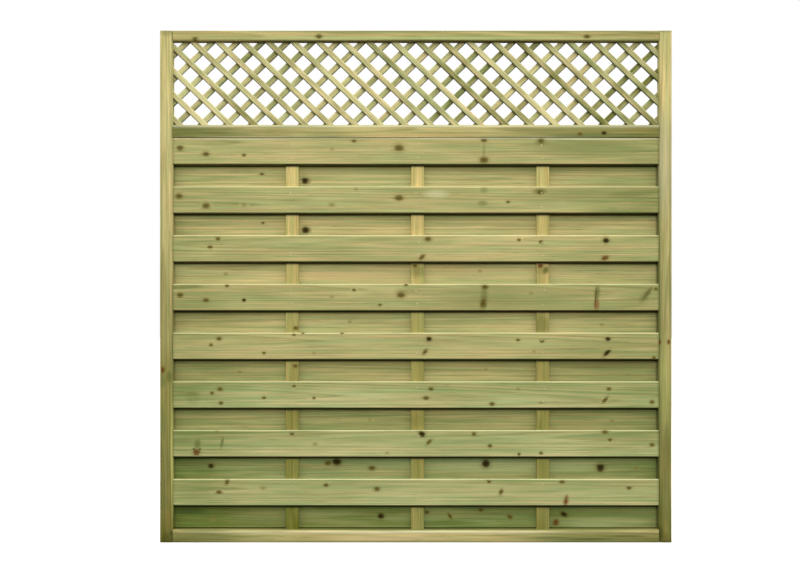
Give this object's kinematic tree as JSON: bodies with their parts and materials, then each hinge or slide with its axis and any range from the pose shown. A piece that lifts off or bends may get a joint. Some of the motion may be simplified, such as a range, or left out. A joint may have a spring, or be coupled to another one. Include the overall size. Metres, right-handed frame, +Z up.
{
  "type": "continental fence panel with trellis top",
  "caption": "Square timber fence panel: framed boards on both faces of upright battens, with diamond trellis along the top.",
  "frame": {"origin": "middle of the left stile's flat outer face, half way up and half way through the panel", "axes": "+X along the panel to the right stile, +Y from the front to the back, +Z up"},
  "size_m": [1.8, 0.045, 1.8],
  "materials": {
    "frame_wood": "planed pressure-treated softwood, matt",
    "batten_wood": "planed pressure-treated softwood, matt",
    "board_wood": "planed pressure-treated softwood, matt",
    "lath_wood": "planed pressure-treated softwood, matt"
  },
  "bodies": {
    "root": {"left_stile": "frame_wood", "right_stile": "frame_wood", "top_rail": "frame_wood", "middle_rail": "frame_wood", "bottom_rail": "frame_wood", "left_batten": "batten_wood", "middle_batten": "batten_wood", "right_batten": "batten_wood", "front_board_1": "board_wood", "front_board_2": "board_wood", "front_board_3": "board_wood", "front_board_4": "board_wood", "front_board_5": "board_wood", "front_board_6": "board_wood", "front_board_7": "board_wood", "front_board_8": "board_wood", "back_board_1": "board_wood", "back_board_2": "board_wood", "back_board_3": "board_wood", "back_board_4": "board_wood", "back_board_5": "board_wood", "back_board_6": "board_wood", "back_board_7": "board_wood", "back_board_8": "board_wood", "trellis": "lath_wood"}
  },
  "joints": []
}
